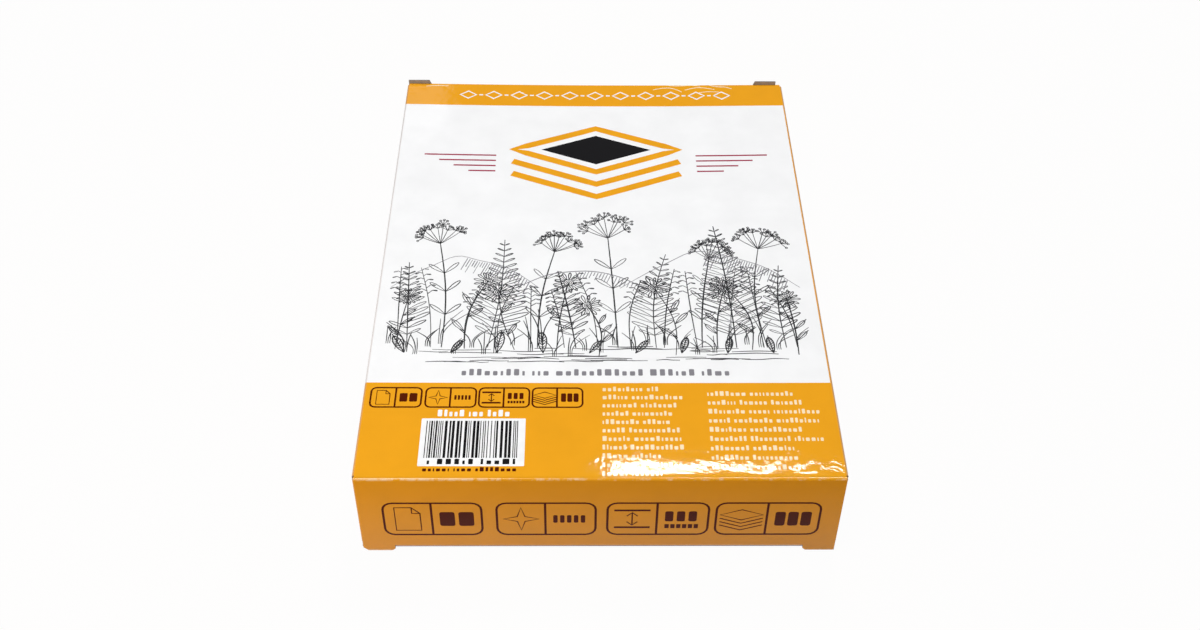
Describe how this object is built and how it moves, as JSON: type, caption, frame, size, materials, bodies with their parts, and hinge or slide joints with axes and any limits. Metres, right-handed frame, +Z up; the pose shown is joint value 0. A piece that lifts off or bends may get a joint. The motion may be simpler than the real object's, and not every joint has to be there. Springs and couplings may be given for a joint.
{
  "type": "carton of laminating pouches",
  "caption": "Closed retail folding carton of A6 laminating pouches, lying on its back, with a tuck-in lid and dust flaps at each end that open onto the stack inside.",
  "frame": {"origin": "middle of the carton's footprint, on the surface it lies on", "axes": "+X along the carton's width, to the right as the printed top is read; +Y along its length, away from the reader; +Z up out of the printed top"},
  "size_m": [0.119, 0.163, 0.0286],
  "materials": {
    "board": "gloss laminated boxboard, printed outside, raw grey inside",
    "film": "clear film with a milky adhesive side"
  },
  "bodies": {
    "carton": {"carton_body": "board", "pouches": "film", "pouch_core": "film"},
    "front_lid": {"front_lid": "board"},
    "front_tuck": {"front_tuck": "board"},
    "front_dust_left": {"front_dust_left": "board"},
    "front_dust_right": {"front_dust_right": "board"},
    "rear_lid": {"rear_lid": "board"},
    "rear_tuck": {"rear_tuck": "board"},
    "rear_dust_left": {"rear_dust_left": "board"},
    "rear_dust_right": {"rear_dust_right": "board"}
  },
  "joints": [
    {"name": "front_lid_fold", "type": "hinge", "parent": "carton", "child": "front_lid", "pos_m": [0, -0.0809, 0.02699], "axis": [-1, 0, 0], "range_deg": [0, 110]},
    {"name": "front_tuck_fold", "type": "hinge", "parent": "front_lid", "child": "front_tuck", "pos_m": [0, -0.08028, 0.00132], "axis": [1, 0, 0], "range_deg": [0, 77]},
    {"name": "front_dust_left_fold", "type": "hinge", "parent": "carton", "child": "front_dust_left", "pos_m": [-0.0589, -0.0802, 0.0136], "axis": [0, 0, -1], "range_deg": [0, 26.4]},
    {"name": "front_dust_right_fold", "type": "hinge", "parent": "carton", "child": "front_dust_right", "pos_m": [0.0589, -0.0802, 0.0136], "axis": [0, 0, 1], "range_deg": [0, 26.4]},
    {"name": "rear_lid_fold", "type": "hinge", "parent": "carton", "child": "rear_lid", "pos_m": [0, 0.0809, 0.0006], "axis": [-1, 0, 0], "range_deg": [0, 110]},
    {"name": "rear_tuck_fold", "type": "hinge", "parent": "rear_lid", "child": "rear_tuck", "pos_m": [0, 0.08028, 0.02627], "axis": [1, 0, 0], "range_deg": [0, 77]},
    {"name": "rear_dust_left_fold", "type": "hinge", "parent": "carton", "child": "rear_dust_left", "pos_m": [-0.0589, 0.0802, 0.0136], "axis": [0, 0, 1], "range_deg": [0, 26.4]},
    {"name": "rear_dust_right_fold", "type": "hinge", "parent": "carton", "child": "rear_dust_right", "pos_m": [0.0589, 0.0802, 0.0136], "axis": [0, 0, -1], "range_deg": [0, 26.4]}
  ],
  "couplings": [
    {"joint": "front_tuck_fold", "follows": "front_lid_fold", "ratio": 0.7},
    {"joint": "front_dust_left_fold", "follows": "front_lid_fold", "ratio": 0.24},
    {"joint": "front_dust_right_fold", "follows": "front_lid_fold", "ratio": 0.24},
    {"joint": "rear_tuck_fold", "follows": "rear_lid_fold", "ratio": 0.7},
    {"joint": "rear_dust_left_fold", "follows": "rear_lid_fold", "ratio": 0.24},
    {"joint": "rear_dust_right_fold", "follows": "rear_lid_fold", "ratio": 0.24}
  ]
}
